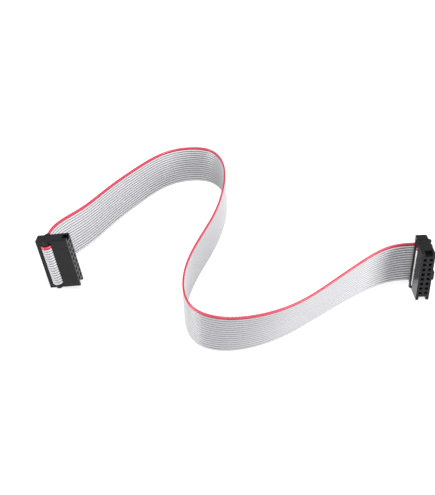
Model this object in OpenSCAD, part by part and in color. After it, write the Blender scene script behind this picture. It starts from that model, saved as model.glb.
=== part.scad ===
// Flat ribbon cable with an insulation-displacement socket crimped on each end.
// The cable stands on its lower edge in an S, and each socket stands on one of its short ends.
// Millimetres, +Z up, with the origin on the floor midway between the two sockets.

/* [Ribbon] */
// Number of conductors, two to each column of pins
conductors = 16; // [6:2:26]
// Thickness of the ribbon over its ridges
ribbon_t = 0.9; // [0.7:0.05:1.1]

/* [Socket body] */
// Pitch of the pins, both along and across the two rows
pitch = 2.54; // [2.45:0.01:2.8]
// Length of plastic beyond the centre of the last pin
end_margin = 3.55; // [3.3:0.05:4.5]
// Thickness of the socket across its two rows
socket_t = 5.8; // [5.6:0.1:7]
// Height of the body from its mating face to the ribbon
body_h = 7.4; // [7.2:0.1:9]
// Radius of the body's upright corners
corner_r = 0.4; // [0.2:0.05:0.8]
// Depth of the slot at each end of the mating face, along the mating direction
end_slot_z = 2.5; // [1:0.1:4]
// Length of that slot along the rows
end_slot_x = 1.7; // [0.8:0.1:1.8]
// Thickness of the walls beside it
end_wall = 1.3; // [1:0.1:1.6]

/* [Key] */
// Width of the polarising key
key_w = 4.2; // [3:0.1:5]
// Height of the key along the mating direction
key_h = 4; // [2:0.1:6]
// How far the key stands proud of the broad side
key_proud = 0.9; // [0.5:0.1:1.2]
// Radius of the triangle sunk beside pin 1, on the key's side
mark_r = 0.9; // [0.5:0.1:1.1]

/* [Pin cavities] */
// Side of the square hole for a pin
pin_hole = 0.9; // [0.75:0.05:1]
// Width of the funnel at the mating face
funnel_w = 1.5; // [1.2:0.05:1.7]
// Depth of the funnel
funnel_d = 0.6; // [0.3:0.05:0.9]
// Thickness of the floor that each pin passes through
floor_t = 1.3; // [1:0.1:1.6]

/* [Contacts] */
// Thickness of the contact strip
strip_t = 0.4; // [0.3:0.05:0.5]
// Width of the contact's shoulders
shoulder_w = 1.96; // [1.8:0.02:2]
// Height of the shoulders
shoulder_h = 0.9; // [0.6:0.1:1.2]
// Width across the two prongs that grip the pin
prongs_w = 1.6; // [1.4:0.05:1.7]
// Gap between the prongs where they grip
grip_gap = 0.5; // [0.3:0.05:0.6]
// Length of the prongs
prong_l = 3.8; // [3:0.1:4.1]
// Width across the two tines that pierce the ribbon
tines_w = 1.1; // [0.9:0.05:1.2]
// Width of the slot that holds the conductor
tine_slot = 0.28; // [0.2:0.02:0.36]
// Height that the tines rise above the ribbon
tine_rise = 1.3; // [0.8:0.1:1.6]

/* [Cover] */
// Thickness of the cover, which is also the inside of the ribbon's fold
cover_t = 3.1; // [2.8:0.1:4]
// How far the cover's round nose stands beyond the body's broad side
nose_proud = 0.65; // [0.4:0.05:1.2]

/* [Latches] */
// Width of the body's latch posts
post_w = 3; // [2:0.1:3.4]
// Thickness of the latch posts and of the clip's legs
post_t = 1.4; // [1:0.1:1.6]
// Height of the latch posts above the body
post_h = 3; // [2.6:0.1:3.2]
// How far a latch hook reaches in
hook = 0.25; // [0.1:0.05:0.3]

/* [Strain relief] */
// Thickness of the clip's bar
bar_t = 2; // [1.2:0.1:2.5]
// Width of the clip's bar
bar_w = 5.1; // [4.6:0.1:5.5]
// Length of the clip's legs below the top of the cover
leg_l = 0.9; // [0.6:0.1:1]

/* [Fits] */
// Clearance round a piece that slides into another
fit_gap = 0.05; // [0.03:0.01:0.08]
// Clearance beside the ribbon's edges in the cover and the clip
edge_gap = 0.15; // [0.1:0.05:0.3]

/* [Hidden] */
$fn = 48;

columns = conductors / 2;
wire_pitch = pitch / 2;
ribbon_w = conductors * wire_pitch;
socket_len = (columns - 1) * pitch + 2 * end_margin;
half_len = socket_len / 2;
half_t = socket_t / 2;

// Heights above the mating face
cover_z = body_h + ribbon_t;
run_z = cover_z + cover_t + ribbon_t / 2;
bar_z = cover_z + cover_t + ribbon_t;
stack_h = bar_z + bar_t;
fold_z = body_h + ribbon_t / 2;
// Space below the prongs, under the shoulders' ledge
prong_space = 0.7;
ledge_z = floor_t + prong_l + prong_space;
tine_z = cover_z + tine_rise;

// How far one solid laps into the next, and how far a cut runs past a face
lap = 0.1;
past = 1;

// The fold wraps the cover's nose
nose_r = cover_t / 2;
nose_y = half_t + nose_proud - nose_r;
fold_r = nose_r + ribbon_t / 2;
fold_step = 22.5;
cut_y = half_t - lap;

// Inner faces of the latch posts, and of the end blocks beside the ribbon
post_x = half_len - post_t;
block_x = ribbon_w / 2 + edge_gap;
// Depth of a hook's flat, its distance from the post's end, and the plastic left over a recess
hook_flat = 0.25;
hook_drop = 0.7;
recess_roof = 0.4;
ledge_in_cover_z = body_h + post_h - hook_drop;
recess_top_z = cover_z + cover_t - recess_roof;

// Where the cover's ridges end above the middle of the ribbon
ridge_up = 0.2;
ridge_z = fold_z + ridge_up;

// Where the ribbon's lower edge enters each socket: x, y, heading of the run, lean to the right
left_entry = [-80, 7, 84, -10];
right_entry = [78.2, 4.7, 4, 0];

// The run between the sockets, along the ribbon's lower edge: x, y, height, lean
route = [
    [-68, 34, 1, -7],
    [-59, 55, 0, -6],
    [-46, 75, 0, -5],
    [-33, 94, 0, -2],
    [-10, 98, 0, 3],
    [-2, 78, 0, 4],
    [-4, 54, 0, 2],
    [-9, 31, 0, 0],
    [-18, 8, 0, -1],
    [-23, -15, 0, 1],
    [-19, -39, 0, 5],
    [0, -42, 0, 9],
    [20, -32, 0, 14],
    [34, -19, 0, 13],
    [49, -8, 1, 7]
];
// Spacing of the straight points beside each entry, and the turn between two rings
stub = 12;
ring_turn = 9;

function two(n) = str(n < 10 ? "0" : "", n);
function contact_name(side, n) = str("contact_", side, "_", two(n));

// Places along the rows
function column_x(c) = (columns - 1) / 2 * pitch - c * pitch;
function row_y(r) = (0.5 - r) * pitch;
function wire_x(i) = (conductors - 1) / 2 * wire_pitch - i * wire_pitch;
function tine_offset(r) = (0.5 - r) * wire_pitch;

// Height of the run's centre where a socket with this lean stands with its lowest edge on the floor
function seat_z(lean) = half_len * cos(lean) + max(run_z * sin(lean), (run_z - stack_h) * sin(lean));

// Directions of a run with this heading and lean: along it, across it to its upper edge, and its back
function along(yaw) = [cos(yaw), sin(yaw), 0];
function across(yaw, lean) = [sin(lean) * sin(yaw), -sin(lean) * cos(yaw), cos(lean)];
function back(yaw, lean) = cross(across(yaw, lean), along(yaw));

// Centre of the ribbon where it enters a socket
function entry_lift(e) = seat_z(e[3]) - ribbon_w / 2 * cos(e[3]);
function centre(x, y, lift, yaw, lean) = [x, y, lift] + ribbon_w / 2 * across(yaw, lean);
function entry_centre(e) = centre(e[0], e[1], entry_lift(e), e[2], e[3]);

// The control points of the whole run, with straight points through each entry
function stubs(e) = [for (k = [-1:1])
    [e[0] + k * stub * cos(e[2]), e[1] + k * stub * sin(e[2]), entry_lift(e), e[3]]];
run = concat(stubs(left_entry), route, stubs(right_entry));

// A uniform cubic B-spline of those points
function blend(p, i, t) = (pow(1 - t, 3) * p[i] + (3 * pow(t, 3) - 6 * t * t + 4) * p[i + 1]
    + (-3 * pow(t, 3) + 3 * t * t + 3 * t + 1) * p[i + 2] + pow(t, 3) * p[i + 3]) / 6;
function slope(p, i, t) = (-pow(1 - t, 2) * p[i] + (3 * t * t - 4 * t) * p[i + 1]
    + (-3 * t * t + 2 * t + 1) * p[i + 2] + t * t * p[i + 3]) / 2;
function heading(d) = atan2(d[1], d[0]);
function turn(a, b) = abs((b - a + 540) % 360 - 180);
function steps(i) = max(2, ceil(turn(heading(slope(run, i, 0)), heading(slope(run, i, 1))) / ring_turn));

// A ring is its centre, the direction across to its upper edge, and the direction of its back
function run_ring(i, t) =
    let (q = blend(run, i, t), yaw = heading(slope(run, i, t)))
    [centre(q[0], q[1], q[2], yaw, q[3]), across(yaw, q[3]), back(yaw, q[3])];
run_rings = [for (i = [0:len(run) - 4]) for (k = [0:steps(i) - 1]) run_ring(i, k / steps(i))];

// A ring at a place in a socket, with y along the run and z up from the mating face
function socket_ring(e, side, y, z, by, bz) =
    let (u = along(e[2]), v = back(e[2], e[3]))
    [entry_centre(e) + (y - side * half_t) * u + (z - run_z) * v, across(e[2], e[3]), by * u + bz * v];

// The folded end: flat on the body, round the cover's nose, and back under the clip
function fold(e, side) = concat(
    [socket_ring(e, side, side * cut_y, fold_z, 0, -1)],
    [for (b = [-90:fold_step:90]) socket_ring(e, side, -side * (nose_y + fold_r * cos(b)),
        cover_z + nose_r + fold_r * sin(b), -side * cos(b), sin(b))]
);
function reversed(list) = [for (i = [len(list) - 1:-1:0]) list[i]];
last_ring = run_ring(len(run) - 4, 1);
rings = concat(fold(left_entry, 1), run_rings, [last_ring], reversed(fold(right_entry, -1)));

// The ribbon's plain section: flat faces and round edges
edge_step = 45;
flat_w = ribbon_w / 2 - ribbon_t / 2;
section = [for (side = [1, -1]) for (b = [-90:edge_step:90])
    side * [flat_w + ribbon_t / 2 * cos(b), ribbon_t / 2 * sin(b)]];

module ribbon_cable() {
    n = len(section);
    points = [for (r = rings) for (s = section) r[0] + s[0] * r[1] + s[1] * r[2]];
    sides = [for (i = [0:len(rings) - 2]) for (j = [0:n - 1])
        let (k = (j + 1) % n, a = i * n, b = a + n)
        each [[a + j, a + k, b + k], [a + j, b + k, b + j]]];
    caps = [[for (j = [n - 1:-1:0]) j], [for (j = [0:n - 1]) (len(rings) - 1) * n + j]];
    color("silver") polyhedron(points, concat(sides, caps), 4);
}

// A rectangle with round corners, on centre
module round_rect(w, h, r) {
    square([w - 2 * r, h], center = true);
    square([w, h - 2 * r], center = true);
    for (x = [-1, 1], y = [-1, 1])
        translate([x * (w / 2 - r), y * (h / 2 - r)]) circle(r);
}

// Extrusions on centre across the socket, of a profile drawn in x and z or in y and z
module across_y(w) {
    rotate([90, 0, 0]) linear_extrude(w, center = true) children();
}
module along_x(w) {
    rotate([90, 0, 90]) linear_extrude(w, center = true) children();
}

// The slot at the +X end of the mating face
module end_slot() {
    translate([half_len - end_slot_x / 2 + past / 2, 0, end_slot_z / 2 - past / 2])
        cube([end_slot_x + past, socket_t - 2 * end_wall, end_slot_z + past], center = true);
}

// A square funnel: two tapered profiles that cross
module funnel() {
    top = pin_hole / 2;
    mouth = funnel_w / 2;
    intersection() {
        across_y(funnel_w) polygon([[-mouth, 0], [mouth, 0], [top, funnel_d], [-top, funnel_d]]);
        along_x(funnel_w) polygon([[-mouth, 0], [mouth, 0], [top, funnel_d], [-top, funnel_d]]);
    }
}

// Space for one contact and its pin, open at the top
module cavity(r) {
    well_w = prongs_w + 2 * fit_gap;
    strip_gap = strip_t + 2 * fit_gap;
    reach = tines_w / 2 + wire_pitch / 2 + fit_gap;
    side = sign(tine_offset(r));
    funnel();
    translate([0, 0, floor_t / 2 + lap]) cube([pin_hole, pin_hole, floor_t], center = true);
    translate([0, 0, (floor_t + body_h) / 2]) cube([pin_hole, pin_hole, body_h - floor_t], center = true);
    translate([-well_w / 2, -strip_gap / 2, floor_t]) cube([well_w, strip_gap, body_h]);
    translate([-shoulder_w / 2 - fit_gap, -strip_gap / 2, ledge_z])
        cube([shoulder_w + 2 * fit_gap, strip_gap, body_h]);
    translate([side > 0 ? 0 : -reach, -strip_gap / 2, ledge_z]) cube([reach, strip_gap, body_h]);
}

// A latch post with a hook that points inward, at the +X end
module post() {
    top = body_h + post_h;
    across_y(post_w) polygon([
        [post_x, body_h - post_t / 2], [half_len, body_h - post_t / 2], [half_len, top],
        [post_x + hook, top], [post_x - hook, ledge_in_cover_z + hook_flat],
        [post_x - hook, ledge_in_cover_z],
        [post_x, ledge_in_cover_z]
    ]);
}

module key() {
    key_z = 0.5;
    key_r = 0.3;
    translate([0, half_t + (key_proud - lap) / 2, key_z + key_h / 2])
        across_y(key_proud + lap) round_rect(key_w, key_h, key_r);
}

// The triangle that marks pin 1, pointing at the mating face
module pin_one_mark() {
    mark_z = 1.6;
    mark_depth = 0.2;
    translate([column_x(0), half_t + (past - mark_depth) / 2, mark_z])
        across_y(mark_depth + past) rotate(-90) circle(mark_r, $fn = 3);
}

module socket_body() {
    color([0.13, 0.13, 0.14]) difference() {
        union() {
            linear_extrude(body_h) round_rect(socket_len, socket_t, corner_r);
            post();
            mirror([1, 0, 0]) post();
            key();
        }
        for (c = [0:columns - 1], r = [0, 1])
            translate([column_x(c), row_y(r), 0]) cavity(r);
        end_slot();
        mirror([1, 0, 0]) end_slot();
        pin_one_mark();
    }
}

// Notch at the +X end of the cover for the body's post and the clip's leg, with one recess for both hooks
module latch_notch() {
    w = post_w + 2 * fit_gap;
    inner = post_x - fit_gap;
    across_y(w) polygon([
        [inner, body_h - past], [half_len + past, body_h - past], [half_len + past, stack_h],
        [inner, stack_h],
        [inner, recess_top_z], [inner - hook, recess_top_z], [inner - hook, ledge_in_cover_z],
        [inner, ledge_in_cover_z]
    ]);
}

// The cover's section: a bar with two round noses, over ridges that press between the conductors
module cover_section() {
    translate([0, cover_z + nose_r]) square([2 * nose_y, cover_t], center = true);
    for (s = [-1, 1])
        translate([s * nose_y, cover_z + nose_r]) circle(nose_r);
}

module cover_blocks() {
    block_t = socket_t - 2 * corner_r;
    for (s = [-1, 1])
        translate([s * (half_len + block_x) / 2, 0, (body_h + cover_z + nose_r) / 2])
            cube([half_len - block_x, block_t, cover_z + nose_r - body_h], center = true);
}

module socket_cover() {
    groove_r = ribbon_t / 2 + fit_gap;
    tine_gap = 4 * fit_gap;
    tine_slot_h = tine_z + tine_gap - ridge_z;
    color([0.15, 0.15, 0.16]) difference() {
        union() {
            along_x(socket_len) cover_section();
            translate([0, 0, (ridge_z + cover_z + nose_r) / 2])
                cube([2 * block_x, 2 * nose_y, cover_z + nose_r - ridge_z], center = true);
            cover_blocks();
        }
        for (i = [0:conductors - 1])
            translate([wire_x(i), 0, fold_z]) across_y(2 * socket_t) circle(groove_r);
        for (c = [0:columns - 1], r = [0, 1])
            translate([column_x(c) + tine_offset(r), row_y(r), ridge_z + tine_slot_h / 2])
                cube([tines_w + tine_gap, strip_t + tine_gap, tine_slot_h + lap], center = true);
        latch_notch();
        mirror([1, 0, 0]) latch_notch();
    }
}

// A leg of the strain relief, at the +X end, which hooks under the cover
module leg() {
    foot = cover_z + cover_t - leg_l;
    across_y(post_w - 2 * fit_gap) polygon([
        [post_x, bar_z + lap], [half_len, bar_z + lap], [half_len, foot], [post_x + hook, foot],
        [post_x - hook, recess_top_z - hook_flat], [post_x - hook, recess_top_z - fit_gap],
        [post_x, recess_top_z - fit_gap]
    ]);
}

// The clip's section: a flat bar with its two upper edges rounded
module bar_section() {
    r = bar_t / 4;
    translate([0, bar_z + (bar_t - r) / 2]) square([bar_w, bar_t - r], center = true);
    translate([0, stack_h - r]) square([bar_w - 2 * r, 2 * r], center = true);
    for (s = [-1, 1])
        translate([s * (bar_w / 2 - r), stack_h - r]) circle(r);
}

module strain_relief() {
    color([0.14, 0.14, 0.15]) {
        along_x(socket_len) bar_section();
        for (s = [-1, 1])
            translate([s * (half_len + block_x) / 2, 0, bar_z - (ribbon_t - lap) / 2])
                cube([half_len - block_x, bar_w, ribbon_t + lap], center = true);
        leg();
        mirror([1, 0, 0]) leg();
    }
}

// One stamped contact: two prongs below, shoulders, and two tines that pierce the ribbon above
module contact(r) {
    shoulder = shoulder_w / 2;
    top = ledge_z + shoulder_h;
    prong = prongs_w / 2;
    grip = grip_gap / 2;
    tip_z = ledge_z - prong_l;
    bevel = 0.15;
    open = prong - strip_t;
    grip_z = tip_z + 1.2;
    fork_z = ledge_z - shoulder_h / 2;
    tine = tines_w / 2;
    point = tine * 2 / 3;
    gap = tine_slot / 2;
    tine_bevel_z = tine_z - 0.5;
    slot_z = body_h - 2 * lap;
    lead_z = tine_z - 0.7;
    x = tine_offset(r);
    color("goldenrod") across_y(strip_t) polygon([
        [-shoulder, top], [-shoulder, ledge_z], [-prong, ledge_z], [-prong, tip_z + 2 * bevel],
        [-prong + bevel, tip_z], [-open, tip_z], [-grip, grip_z], [-open, fork_z], [open, fork_z],
        [grip, grip_z], [open, tip_z], [prong - bevel, tip_z], [prong, tip_z + 2 * bevel],
        [prong, ledge_z], [shoulder, ledge_z], [shoulder, top], [x + tine, top],
        [x + tine, tine_bevel_z], [x + point, tine_z], [x + gap, lead_z], [x + gap, slot_z],
        [x - gap, slot_z], [x - gap, lead_z], [x - point, tine_z], [x - tine, tine_bevel_z],
        [x - tine, top]
    ]);
}

// Stands a socket's piece at its end of the cable; side is +1 where the ribbon enters from +Y
module stand(e, side) {
    translate(entry_centre(e)) rotate([e[3] - 90, 0, e[2]]) rotate([0, 0, -90])
        translate([0, -side * half_t, -run_z]) children();
}
module at(side) {
    if (side == "left") stand(left_entry, 1) children();
    if (side == "right") stand(right_entry, -1) children();
}

ribbon_cable();
for (side = ["left", "right"]) {
    at(side) socket_body();
    at(side) socket_cover();
    at(side) strain_relief();
    for (n = [1:conductors])
        at(side) translate([column_x(floor((n - 1) / 2)), row_y((n - 1) % 2), 0]) contact((n - 1) % 2);
}
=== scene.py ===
import math

import bmesh
import bpy
from mathutils import Matrix, Vector


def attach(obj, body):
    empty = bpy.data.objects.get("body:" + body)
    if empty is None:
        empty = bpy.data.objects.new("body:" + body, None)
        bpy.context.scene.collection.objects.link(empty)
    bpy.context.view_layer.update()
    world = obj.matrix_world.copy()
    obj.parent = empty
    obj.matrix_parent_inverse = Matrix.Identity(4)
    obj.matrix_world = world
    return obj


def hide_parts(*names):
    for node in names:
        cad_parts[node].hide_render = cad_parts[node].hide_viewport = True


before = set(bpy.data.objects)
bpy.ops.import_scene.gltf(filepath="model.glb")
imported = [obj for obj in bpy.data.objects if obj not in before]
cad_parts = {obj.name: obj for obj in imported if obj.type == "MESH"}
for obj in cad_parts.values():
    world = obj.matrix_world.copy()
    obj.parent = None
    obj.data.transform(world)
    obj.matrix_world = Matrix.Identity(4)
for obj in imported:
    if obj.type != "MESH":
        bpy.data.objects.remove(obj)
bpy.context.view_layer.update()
scene = bpy.context.scene


# The camera
# A long lens looks down at the cable from in front, about 35 degrees above the table,
# so that the ribbon's upper and lower edges stay nearly parallel.
LOOK_AT = Vector((-0.00785, 0.0332, 0.0))
CAMERA_DISTANCE = 0.431
CAMERA_ELEVATION = math.radians(35)
LENS_MM = 75
SENSOR_MM = 36
NEAREST_SEEN = 0.01

lens = bpy.data.cameras.new("camera")
lens.sensor_fit = "HORIZONTAL"
lens.sensor_width = SENSOR_MM
lens.lens = LENS_MM
lens.clip_start = NEAREST_SEEN
camera = bpy.data.objects.new("camera", lens)
scene.collection.objects.link(camera)
towards_camera = Vector((0, -math.cos(CAMERA_ELEVATION), math.sin(CAMERA_ELEVATION)))
camera.location = LOOK_AT + CAMERA_DISTANCE * towards_camera
camera.rotation_euler = (math.pi / 2 - CAMERA_ELEVATION, 0, 0)
scene.camera = camera
scene.view_settings.view_transform = "Standard"


# The flat ribbon
# Sixteen stranded conductors lie side by side in one extrusion of grey PVC, round over each
# conductor and thin between them. The first conductor is red. The ribbon stands on its lower
# edge, and each end is folded round the cover of its socket and cut off close to its side.
MM = 0.001
CONDUCTORS = 16
WIRE_PITCH = 1.27 * MM
RIBBON_WIDTH = CONDUCTORS * WIRE_PITCH

# Where the lower edge enters each socket: x, y, heading of the run, lean to the right
LEFT_ENTRY = (-0.080, 0.007, 84, -10)
RIGHT_ENTRY = (0.0782, 0.0047, 4, 0)
# The run between the sockets, along the ribbon's lower edge: x, y, height, lean
ROUTE = [
    (-0.068, 0.034, 0.001, -7),
    (-0.059, 0.055, 0, -6),
    (-0.046, 0.075, 0, -5),
    (-0.033, 0.094, 0, -2),
    (-0.010, 0.098, 0, 3),
    (-0.002, 0.078, 0, 4),
    (-0.004, 0.054, 0, 2),
    (-0.009, 0.031, 0, 0),
    (-0.018, 0.008, 0, -1),
    (-0.023, -0.015, 0, 1),
    (-0.019, -0.039, 0, 5),
    (0.000, -0.042, 0, 9),
    (0.020, -0.032, 0, 14),
    (0.034, -0.019, 0, 13),
    (0.049, -0.008, 0.001, 7),
]
# Spacing of the three points in line that set the way of the run at each socket
STUB = 12 * MM

# Half the socket's sizes, heights in it above its mating face, the cut end's place across it, and
# the fold round the cover's nose
SOCKET_HALF_LENGTH = 12.44 * MM
SOCKET_HALF_THICK = 2.9 * MM
CUT_HEIGHT = 7.85 * MM
CUT_Y = 3.15 * MM
RUN_HEIGHT = 11.85 * MM
BAR_TOP = 14.3 * MM
FOLD_RADIUS = 2.0 * MM
FOLD_Y = 2.0 * MM
FOLD_HEIGHT = 9.85 * MM
FOLD_STEPS = 20

# Rings along the run: one for each few degrees of turn, and at least a few in each span
TURN_PER_RING = 2.5
LEAST_RINGS = 14


def along(yaw):
    """The way of the run, flat on the table."""
    return Vector((math.cos(yaw), math.sin(yaw), 0))


def across(yaw, lean):
    """The way from the ribbon's lower edge to its upper one."""
    return Vector((math.sin(lean) * math.sin(yaw), -math.sin(lean) * math.cos(yaw), math.cos(lean)))


def entry_lift(entry):
    """Height of the ribbon's lower edge above the table where its socket stands on one end."""
    lean = math.radians(entry[3])
    lower = max(RUN_HEIGHT * math.sin(lean), (RUN_HEIGHT - BAR_TOP) * math.sin(lean))
    return SOCKET_HALF_LENGTH * math.cos(lean) + lower - RIBBON_WIDTH / 2 * math.cos(lean)


def run_centre(x, y, lift, yaw, lean):
    """The middle of the ribbon's width over a point of its lower edge."""
    return Vector((x, y, lift)) + RIBBON_WIDTH / 2 * across(yaw, lean)


def socket_frame(entry, side):
    """A socket's own frame: x up along the pin rows, y along the run, z away from the mating face."""
    x, y, yaw, lean = entry[0], entry[1], math.radians(entry[2]), math.radians(entry[3])
    up = across(yaw, lean)
    run = along(yaw)
    out = up.cross(run)
    centre = run_centre(x, y, entry_lift(entry), yaw, lean)
    origin = centre - side * SOCKET_HALF_THICK * run - RUN_HEIGHT * out
    return Matrix.Translation(origin) @ Matrix((up, run, out)).transposed().to_4x4()


def stub_points(entry):
    """Three points in line, the middle one at the socket, so that the run meets it squarely."""
    x, y, yaw, lean = entry[0], entry[1], math.radians(entry[2]), entry[3]
    dx, dy = STUB * math.cos(yaw), STUB * math.sin(yaw)
    return [(x + k * dx, y + k * dy, entry_lift(entry), lean) for k in (-1, 0, 1)]


def spline_at(points, i, t):
    """The point at t, from 0 to 1, in span i of an even cubic B-spline."""
    weights = ((1 - t) ** 3, 3 * t**3 - 6 * t**2 + 4, -3 * t**3 + 3 * t**2 + 3 * t + 1, t**3)
    return [sum(w * points[i + k][axis] for k, w in enumerate(weights)) / 6 for axis in range(4)]


def spline_heading(points, i, t):
    """The way in which the spline runs there, seen from above."""
    weights = (-((1 - t) ** 2), 3 * t**2 - 4 * t, -3 * t**2 + 2 * t + 1, t**2)
    dx, dy = (sum(w * points[i + k][axis] for k, w in enumerate(weights)) for axis in (0, 1))
    return math.atan2(dy, dx)


def run_rings():
    """Rings of the run, each its centre, the way to its upper edge and the way of its back."""
    points = stub_points(LEFT_ENTRY) + ROUTE + stub_points(RIGHT_ENTRY)
    rings = []
    for i in range(len(points) - 3):
        turn = spline_heading(points, i, 1) - spline_heading(points, i, 0)
        turn = abs((turn + math.pi) % (2 * math.pi) - math.pi)
        steps = max(LEAST_RINGS, math.ceil(math.degrees(turn) / TURN_PER_RING))
        last = 1 if i == len(points) - 4 else 0
        for k in range(steps + last):
            x, y, lift, lean = spline_at(points, i, k / steps)
            yaw, lean = spline_heading(points, i, k / steps), math.radians(lean)
            up = across(yaw, lean)
            rings.append((run_centre(x, y, lift, yaw, lean), up, up.cross(along(yaw))))
    return rings


def fold_rings(entry, side):
    """Rings from the cut end round the cover's nose, up to the run."""
    place = socket_frame(entry, side)
    turned = place.to_3x3()
    up = turned.col[0]
    rings = [(place @ Vector((0, side * CUT_Y, CUT_HEIGHT)), up, turned @ Vector((0, 0, -1)))]
    for k in range(FOLD_STEPS + 1):
        bend = math.pi * (k / FOLD_STEPS - 0.5)
        y, z = math.cos(bend), math.sin(bend)
        middle = Vector((0, -side * (FOLD_Y + FOLD_RADIUS * y), FOLD_HEIGHT + FOLD_RADIUS * z))
        rings.append((place @ middle, up, turned @ Vector((0, -side * y, z))))
    return rings


# The section over one conductor, from valley to valley: place across in pitches, half thickness
# in millimetres
LOBE = [
    (-0.5, 0.1),
    (-0.42, 0.12),
    (-0.3, 0.31),
    (-0.16, 0.41),
    (0, 0.45),
    (0.16, 0.41),
    (0.3, 0.31),
    (0.42, 0.12),
]
# The outer half of the first and the last lobe, in the same units
EDGE_ROUND = [
    (-0.18, 0.41),
    (-0.33, 0.34),
    (-0.44, 0.2),
    (-0.48, 0.0),
    (-0.44, -0.2),
    (-0.33, -0.34),
    (-0.18, -0.41),
]
# Distance from an outer lobe's middle, in pitches, past which that half takes over
OUTER_FROM = 0.1


def ribbon_section():
    """The ribbed section, as points (towards the upper edge, towards the back), round its outline."""
    face = []
    for wire in range(CONDUCTORS):
        lobe_x = (wire - (CONDUCTORS - 1) / 2) * WIRE_PITCH
        for place, half in LOBE:
            outer_half = wire == 0 and place < -OUTER_FROM
            if not outer_half:
                face.append((lobe_x + place * WIRE_PITCH, half * MM))
    last_x = (CONDUCTORS - 1) / 2 * WIRE_PITCH
    face = [p for p in face if p[0] < last_x + OUTER_FROM * WIRE_PITCH]
    edge_high = [(last_x - place * WIRE_PITCH, half * MM) for place, half in EDGE_ROUND]
    edge_low = [(-x, -half) for x, half in edge_high]
    return face + edge_high + [(x, -half) for x, half in reversed(face)] + edge_low


def ribbon_mesh(rings):
    """The section carried along the rings and closed at both cut ends."""
    section = ribbon_section()
    count = len(section)
    mesh = bpy.data.meshes.new("ribbon")
    vertices = [centre + s * up + t * back for centre, up, back in rings for s, t in section]
    faces = []
    for ring in range(len(rings) - 1):
        for k in range(count):
            a, b = ring * count + k, ring * count + (k + 1) % count
            faces.append((a, b, b + count, a + count))
    faces.append(tuple(range(count - 1, -1, -1)))
    top = (len(rings) - 1) * count
    faces.append(tuple(range(top, top + count)))
    mesh.from_pydata(vertices, [], faces)
    # One map for the pattern: the distance along the ribbon and the place across it
    distance = [0.0]
    for before, after in zip(rings, rings[1:]):
        distance.append(distance[-1] + (after[0] - before[0]).length)
    layer = mesh.uv_layers.new(name="ribbon_map")
    for loop in mesh.loops:
        ring, k = divmod(loop.vertex_index, count)
        layer.data[loop.index].uv = (distance[ring] / distance[-1], section[k][0] / RIBBON_WIDTH + 0.5)
    for polygon in mesh.polygons:
        polygon.use_smooth = len(polygon.vertices) == 4
    return mesh


class Value:
    """A socket that takes part in sums, so that a pattern reads as an expression."""

    tree = None

    def __init__(self, socket):
        self.socket = socket

    @classmethod
    def node(cls, kind, inputs=None, output=0, **settings):
        made = cls.tree.nodes.new(kind)
        for name, setting in settings.items():
            setattr(made, name, setting)
        for key, given in (inputs or {}).items():
            if isinstance(given, Value):
                cls.tree.links.new(given.socket, made.inputs[key])
            else:
                made.inputs[key].default_value = given
        return Value(made.outputs[output])

    @staticmethod
    def maths(operation, first, second):
        return Value.node("ShaderNodeMath", {0: first, 1: second}, operation=operation)

    def __add__(self, other):
        return self.maths("ADD", self, other)

    def __radd__(self, other):
        return self.maths("ADD", other, self)

    def __sub__(self, other):
        return self.maths("SUBTRACT", self, other)

    def __rsub__(self, other):
        return self.maths("SUBTRACT", other, self)

    def __mul__(self, other):
        return self.maths("MULTIPLY", self, other)

    __rmul__ = __mul__

    def __gt__(self, other):
        return self.maths("GREATER_THAN", self, other)

    def __abs__(self):
        return Value.node("ShaderNodeMath", {0: self}, operation="ABSOLUTE")

    def fraction(self):
        return Value.node("ShaderNodeMath", {0: self}, operation="FRACT")

    def clamped(self):
        return Value.node("ShaderNodeMath", {0: self, 1: 0}, operation="ADD", use_clamp=True)


def blend_colours(share, first, second):
    """The first colour where the share is 0, and the second where it is 1."""
    return Value.node(
        "ShaderNodeMix",
        {"Factor": share, "A": first, "B": second},
        output="Result",
        data_type="RGBA",
    )


def new_material(name):
    """An empty material whose shader is returned with it. The sums that follow are added to its tree."""
    material = bpy.data.materials.new(name)
    material.use_nodes = True
    Value.tree = material.node_tree
    return material, material.node_tree.nodes["Principled BSDF"]


def plug_in(shader, name, value):
    Value.tree.links.new(value.socket, shader.inputs[name])


PVC_GREY = (0.425, 0.425, 0.44, 1)
PVC_GREY_DARK = (0.395, 0.395, 0.41, 1)
# Painted shade for the valleys between the grey lobes, where less light reaches
PVC_VALLEY_PAINTED_SHADE = (0.19, 0.19, 0.196, 1)
PVC_RED = (0.46, 0.024, 0.062, 1)
# Painted shade for the valleys in the red print
PVC_RED_VALLEY_PAINTED_SHADE = (0.33, 0.016, 0.04, 1)
PVC_CUT = (0.85, 0.85, 0.85, 1)
# Share of the length at each end that the knife left pale
CUT_SHARE = 0.0012
# Share of the pitch, from the middle of a lobe, at which painted shade starts to darken its side, and the
# width of that step. The red print runs a little past the first conductor.
PAINTED_SHADE_FROM = 0.62
PAINTED_SHADE_STEP = 0.22
RED_WIRES = 1.16
# Roughness of the PVC and how much it varies, the scales of its clouds, its streaks along the
# ribbon and its fine grain, and the grain's depth
PVC_ROUGHNESS = 0.3
PVC_ROUGHNESS_SPREAD = 0.14
PVC_CLOUDS = 60
PVC_STREAK_LENGTH = 12
PVC_STREAKS = 2.5
PVC_GRAIN = 2500
PVC_GRAIN_DEPTH = 0.05 * MM
PVC_GRAIN_STRENGTH = 0.08
PVC_IOR = 1.52


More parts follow.
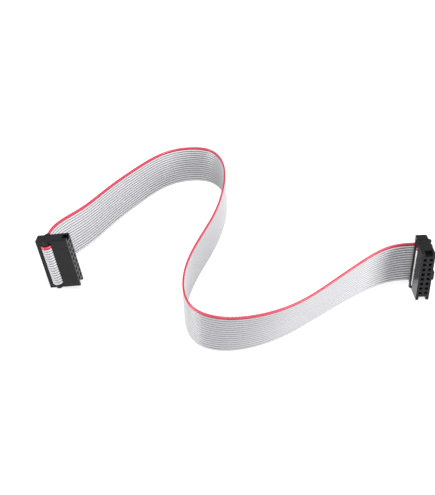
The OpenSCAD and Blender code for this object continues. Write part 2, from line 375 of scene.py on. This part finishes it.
def ribbon_material():
    material, shader = new_material("ribbon_pvc")
    place = Value.node("ShaderNodeUVMap", uv_map="ribbon_map")
    run = Value.node("ShaderNodeSeparateXYZ", {0: place}, output="X")
    width = Value.node("ShaderNodeSeparateXYZ", {0: place}, output="Y")
    spot = Value.node("ShaderNodeTexCoord", output="Object")
    clouds = Value.node("ShaderNodeTexNoise", {"Vector": spot, "Scale": PVC_CLOUDS, "Detail": 3})
    streak_at = Value.node("ShaderNodeCombineXYZ", {0: run * PVC_STREAK_LENGTH, 1: width * CONDUCTORS})
    streaks = Value.node("ShaderNodeTexNoise", {"Vector": streak_at, "Scale": PVC_STREAKS, "Detail": 2})
    from_middle = abs((width * CONDUCTORS).fraction() * 2 - 1)
    # Painted shade: each lobe's sides darken towards the valleys, where less light falls
    valley = ((from_middle - PAINTED_SHADE_FROM) * (1 / PAINTED_SHADE_STEP)).clamped()
    grey = blend_colours(clouds * 0.5 + streaks * 0.5, PVC_GREY_DARK, PVC_GREY)
    at_end = abs(run * 2 - 1) > 1 - 2 * CUT_SHARE
    red_here = width > 1 - RED_WIRES / CONDUCTORS
    bare = blend_colours(red_here, grey, PVC_RED)
    painted_valley_shade = blend_colours(red_here, PVC_VALLEY_PAINTED_SHADE, PVC_RED_VALLEY_PAINTED_SHADE)
    ribbed = blend_colours(valley, bare, painted_valley_shade)
    cut_here = at_end * (1 - red_here)
    plug_in(shader, "Base Color", blend_colours(cut_here, ribbed, PVC_CUT))
    plug_in(shader, "Roughness", PVC_ROUGHNESS + clouds * PVC_ROUGHNESS_SPREAD)
    grain = Value.node("ShaderNodeTexNoise", {"Vector": spot, "Scale": PVC_GRAIN, "Detail": 2})
    depth = {"Height": grain, "Strength": PVC_GRAIN_STRENGTH, "Distance": PVC_GRAIN_DEPTH}
    plug_in(shader, "Normal", Value.node("ShaderNodeBump", depth))
    shader.inputs["IOR"].default_value = PVC_IOR
    return material


# The side of each socket's frame, along its y axis, on which the run lies
LEFT_SIDE, RIGHT_SIDE = 1, -1
left_fold = fold_rings(LEFT_ENTRY, LEFT_SIDE)
right_fold = fold_rings(RIGHT_ENTRY, RIGHT_SIDE)[::-1]
ribbon_rings = left_fold + run_rings() + right_fold
ribbon = bpy.data.objects.new("flat_ribbon", ribbon_mesh(ribbon_rings))
scene.collection.objects.link(ribbon)
ribbon.data.materials.append(ribbon_material())

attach(ribbon, "root")
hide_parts("ribbon_cable")


# The socket mouldings
# Each socket is three mouldings of black glass-filled polyester: the body with its pin
# cavities and key, the cover that presses the ribbon onto the contacts, and the strain relief.
SOCKET_BLACK = (0.004, 0.004, 0.0045, 1)
SOCKET_BLACK_PALE = (0.009, 0.009, 0.01, 1)
# Roughness of the polyester and how much it varies, the scales of its flow clouds and of the
# mould's spark-eroded grain, and the grain's depth
SOCKET_ROUGHNESS = 0.12
SOCKET_ROUGHNESS_SPREAD = 0.22
SOCKET_CLOUDS = 350
SOCKET_GRAIN = 5000
SOCKET_GRAIN_DEPTH = 0.04 * MM
SOCKET_GRAIN_STRENGTH = 0.3
SOCKET_IOR = 1.5
SOCKET_SPECULAR = 0.23


def socket_material():
    material, shader = new_material("socket_plastic")
    spot = Value.node("ShaderNodeTexCoord", output="Object")
    clouds = Value.node("ShaderNodeTexNoise", {"Vector": spot, "Scale": SOCKET_CLOUDS, "Detail": 4})
    plug_in(shader, "Base Color", blend_colours(clouds, SOCKET_BLACK, SOCKET_BLACK_PALE))
    plug_in(shader, "Roughness", SOCKET_ROUGHNESS + clouds * SOCKET_ROUGHNESS_SPREAD)
    grain = Value.node("ShaderNodeTexNoise", {"Vector": spot, "Scale": SOCKET_GRAIN, "Detail": 3})
    depth = {"Height": grain, "Strength": SOCKET_GRAIN_STRENGTH, "Distance": SOCKET_GRAIN_DEPTH}
    plug_in(shader, "Normal", Value.node("ShaderNodeBump", depth))
    shader.inputs["IOR"].default_value = SOCKET_IOR
    shader.inputs["Specular IOR Level"].default_value = SOCKET_SPECULAR
    return material


# Size of the round on an outer edge and its facets, the least length and turn of an edge that has
# it, the distance within which loose corners are joined, and the turns between which two faces
# are facets of one curve
MOULD_ROUND = 0.11 * MM
ROUND_FACETS = 3
LEAST_EDGE = 1.2 * MM
SHARP_EDGE = math.radians(35)
WELD = 0.002 * MM
FLAT_WITHIN = math.radians(0.5)
CURVE_WITHIN = math.radians(20)


def edge_turn(edge):
    """The turn from one face of an edge to the other."""
    return edge.calc_face_angle() if edge.is_manifold else math.pi


def moulded(node, material):
    """A copy of a moulding, with the small round that its mould leaves on each outer edge."""
    shape = bmesh.new()
    shape.from_mesh(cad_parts[node].data)
    bmesh.ops.remove_doubles(shape, verts=shape.verts, dist=WELD)
    bmesh.ops.dissolve_limit(shape, angle_limit=FLAT_WITHIN, verts=shape.verts, edges=shape.edges)
    for face in shape.faces:
        face.smooth = any(FLAT_WITHIN < edge_turn(edge) < CURVE_WITHIN for edge in face.edges)
    outer = [
        edge
        for edge in shape.edges
        if edge.is_manifold and edge.calc_length() > LEAST_EDGE and edge.calc_face_angle_signed() > SHARP_EDGE
    ]
    rounded = bmesh.ops.bevel(
        shape,
        geom=outer,
        offset=MOULD_ROUND,
        offset_type="OFFSET",
        segments=ROUND_FACETS,
        profile=0.5,
        affect="EDGES",
    )
    for face in rounded["faces"]:
        face.smooth = False
    bmesh.ops.triangulate(shape, faces=shape.faces)
    bmesh.ops.dissolve_degenerate(shape, dist=WELD / 2, edges=shape.edges)
    for edge in shape.edges:
        edge.smooth = edge_turn(edge) < CURVE_WITHIN
    mesh = bpy.data.meshes.new(node)
    shape.to_mesh(mesh)
    shape.free()
    mesh.materials.append(material)
    piece = bpy.data.objects.new(node + "_moulding", mesh)
    scene.collection.objects.link(piece)
    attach(piece, "root")
    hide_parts(node)
    return piece


socket_plastic = socket_material()
MOULDINGS = ("socket_body", "socket_cover", "strain_relief")
for kind in MOULDINGS:
    moulded(kind + "_left", socket_plastic)
right_mouldings = [moulded(kind + "_right", socket_plastic) for kind in MOULDINGS]


# The contacts
# Thirty-two forks stamped from phosphor bronze strip, gold plated where they grip a pin.
# Their tines pierce the ribbon and hold one conductor each.
CONTACT_GOLD = (0.83, 0.6, 0.24, 1)
CONTACT_NICKEL = (0.62, 0.58, 0.5, 1)
CONTACT_ROUGHNESS = 0.22
CONTACT_ROUGHNESS_SPREAD = 0.16
CONTACT_CLOUDS = 900


def contact_material():
    material, shader = new_material("contact_metal")
    spot = Value.node("ShaderNodeTexCoord", output="Object")
    clouds = Value.node("ShaderNodeTexNoise", {"Vector": spot, "Scale": CONTACT_CLOUDS, "Detail": 2})
    plug_in(shader, "Base Color", blend_colours(clouds, CONTACT_GOLD, CONTACT_NICKEL))
    plug_in(shader, "Roughness", CONTACT_ROUGHNESS + clouds * CONTACT_ROUGHNESS_SPREAD)
    shader.inputs["Metallic"].default_value = 1
    return material


contact_metal = contact_material()
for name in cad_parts:
    if name.startswith("contact_"):
        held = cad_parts[name].data.materials
        held.clear()
        held.append(contact_metal)


# The cut conductors
# At each cut end the sixteen conductors show, seven tinned copper strands in each, one in the
# middle and six round it. They stand a little proud of the PVC, which springs back from the knife.
STRANDS_ROUND = 6
STRAND_SIDES = 10
STRAND_RADIUS = 0.062 * MM
LAY_RADIUS = 0.128 * MM
STRAND_LENGTH = 1.2 * MM
STRAND_PROUD = 0.05 * MM
TWIST_SEED = 4
TIN = (0.78, 0.66, 0.56, 1)
TIN_DULL = (0.6, 0.55, 0.5, 1)
TIN_ROUGHNESS = 0.25
TIN_ROUGHNESS_SPREAD = 0.2
TIN_CLOUDS = 3000


def tinned_material():
    material, shader = new_material("tinned_copper")
    spot = Value.node("ShaderNodeTexCoord", output="Object")
    clouds = Value.node("ShaderNodeTexNoise", {"Vector": spot, "Scale": TIN_CLOUDS, "Detail": 2})
    plug_in(shader, "Base Color", blend_colours(clouds, TIN, TIN_DULL))
    plug_in(shader, "Roughness", TIN_ROUGHNESS + clouds * TIN_ROUGHNESS_SPREAD)
    shader.inputs["Metallic"].default_value = 1
    return material


def strands_tree():
    """Bundles of round strands on a line, one bundle to a conductor, each turned by chance."""
    tree = bpy.data.node_groups.new("conductor_strands", "GeometryNodeTree")
    interface = tree.interface
    for name, kind in (
        ("Wires", "NodeSocketInt"),
        ("Strands Round", "NodeSocketInt"),
        ("Strand Sides", "NodeSocketInt"),
        ("Pitch", "NodeSocketFloat"),
        ("Lay Radius", "NodeSocketFloat"),
        ("Strand Radius", "NodeSocketFloat"),
        ("Strand Length", "NodeSocketFloat"),
        ("Seed", "NodeSocketInt"),
        ("Metal", "NodeSocketMaterial"),
    ):
        interface.new_socket(name, in_out="INPUT", socket_type=kind)
    interface.new_socket("Geometry", in_out="OUTPUT", socket_type="NodeSocketGeometry")

    def add(kind, inputs=None, **settings):
        made = tree.nodes.new(kind)
        for name, setting in settings.items():
            setattr(made, name, setting)
        for key, value in (inputs or {}).items():
            if isinstance(value, bpy.types.NodeSocket):
                tree.links.new(value, made.inputs[key])
            else:
                made.inputs[key].default_value = value
        return made

    given = add("NodeGroupInput").outputs
    step = add("ShaderNodeCombineXYZ", {"X": given["Pitch"]}).outputs[0]
    line = add("GeometryNodeMeshLine", {"Count": given["Wires"], "Offset": step}).outputs[0]
    circle = {"Vertices": given["Strands Round"], "Radius": given["Lay Radius"]}
    outer = add("GeometryNodeMeshCircle", circle).outputs[0]
    middle = add("GeometryNodeMeshLine", {"Count": 1}).outputs[0]
    lay = add("GeometryNodeJoinGeometry")
    tree.links.new(outer, lay.inputs[0])
    tree.links.new(middle, lay.inputs[0])
    size = {
        "Vertices": given["Strand Sides"],
        "Radius": given["Strand Radius"],
        "Depth": given["Strand Length"],
    }
    strand = add("GeometryNodeMeshCylinder", size).outputs["Mesh"]
    strands_at = {"Points": lay.outputs[0], "Instance": strand}
    bundle = add("GeometryNodeInstanceOnPoints", strands_at).outputs[0]
    chance = add("FunctionNodeRandomValue", {"Seed": given["Seed"]}, data_type="FLOAT").outputs[1]
    twist = add("ShaderNodeCombineXYZ", {"Z": chance}).outputs[0]
    wires_at = {"Points": line, "Instance": bundle, "Rotation": twist}
    wires = add("GeometryNodeInstanceOnPoints", wires_at).outputs[0]
    real = add("GeometryNodeRealizeInstances", {"Geometry": wires}).outputs[0]
    done = add("GeometryNodeSetMaterial", {"Geometry": real, "Material": given["Metal"]}).outputs[0]
    tree.links.new(done, add("NodeGroupOutput").inputs[0])
    return tree


def strands_mesh(tree, sizes):
    """The plain mesh that a tree makes with these values of its named inputs."""
    holder = bpy.data.objects.new("strands_holder", bpy.data.meshes.new("strands_holder"))
    scene.collection.objects.link(holder)
    modifier = holder.modifiers.new("strands", "NODES")
    modifier.node_group = tree
    for socket in tree.interface.items_tree:
        if socket.in_out == "INPUT":
            modifier[socket.identifier] = sizes[socket.name]
    ready = holder.evaluated_get(bpy.context.evaluated_depsgraph_get())
    mesh = bpy.data.meshes.new_from_object(ready)
    bpy.data.objects.remove(holder)
    return mesh


strand_sizes = {
    "Wires": CONDUCTORS,
    "Strands Round": STRANDS_ROUND,
    "Strand Sides": STRAND_SIDES,
    "Pitch": WIRE_PITCH,
    "Lay Radius": LAY_RADIUS,
    "Strand Radius": STRAND_RADIUS,
    "Strand Length": STRAND_LENGTH,
    "Seed": TWIST_SEED,
    "Metal": tinned_material(),
}
strands = strands_tree()


def conductor_ends(name, entry, side):
    """The strands of all sixteen conductors, laid through the ribbon's cut end at one socket."""
    end = bpy.data.objects.new(name, strands_mesh(strands, strand_sizes))
    reach = side * (CUT_Y + STRAND_PROUD - STRAND_LENGTH / 2)
    first = Vector((-(CONDUCTORS - 1) / 2 * WIRE_PITCH, reach, CUT_HEIGHT))
    laid_down = Matrix.Rotation(math.pi / 2, 4, "X")
    end.data.transform(socket_frame(entry, side) @ Matrix.Translation(first) @ laid_down)
    scene.collection.objects.link(end)
    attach(end, "root")
    return end


conductor_ends("conductor_ends_left", LEFT_ENTRY, LEFT_SIDE)
right_ends = conductor_ends("conductor_ends_right", RIGHT_ENTRY, RIGHT_SIDE)


# The table and the light
# A plain white light table, lit from below so that the cable throws no hard shadow on it, with
# a soft lamp at each side and a smaller one overhead, in a pale room.
TABLE_SIZE = 6
TABLE_WHITE = (0.95, 0.95, 0.95, 1)
TABLE_ACRYLIC = (0.25, 0.25, 0.25, 1)
TABLE_GLOW = 0.85
TABLE_ROUGHNESS = 0.9
ROOM_WHITE = (0.95, 0.97, 1, 1)
ROOM_STRENGTH = 0.4

table_mesh = bpy.data.meshes.new("table")
half = TABLE_SIZE / 2
corners = [(-half, -half, 0), (half, -half, 0), (half, half, 0), (-half, half, 0)]
table_mesh.from_pydata(corners, [], [(0, 1, 2, 3)])
table = bpy.data.objects.new("table", table_mesh)
scene.collection.objects.link(table)
table_paint, table_shader = new_material("table_paint")
table_shader.inputs["Base Color"].default_value = TABLE_ACRYLIC
table_shader.inputs["Roughness"].default_value = TABLE_ROUGHNESS
table_shader.inputs["Emission Color"].default_value = TABLE_WHITE
table_shader.inputs["Emission Strength"].default_value = TABLE_GLOW
# So large a glowing table adds noise where it is sampled as a lamp
table_paint.cycles.emission_sampling = "NONE"
table_mesh.materials.append(table_paint)


def lamp(name, place, size, watts):
    """A square soft lamp that faces the middle of the table."""
    light = bpy.data.lights.new(name, "AREA")
    light.size = size
    light.energy = watts
    shade = bpy.data.objects.new(name, light)
    shade.location = place
    shade.rotation_euler = Vector(place).to_track_quat("Z", "Y").to_euler()
    scene.collection.objects.link(shade)


lamp("left_light", place=(-0.87, -0.14, 0.3), size=0.5, watts=8)
lamp("right_light", place=(0.87, -0.37, 0.27), size=0.5, watts=10.2)
lamp("top_light", place=(0.05, -0.17, 0.965), size=0.2, watts=12.8)

room = bpy.data.worlds.new("room")
room.use_nodes = True
room.node_tree.nodes["Background"].inputs["Color"].default_value = ROOM_WHITE
room.node_tree.nodes["Background"].inputs["Strength"].default_value = ROOM_STRENGTH
scene.world = room
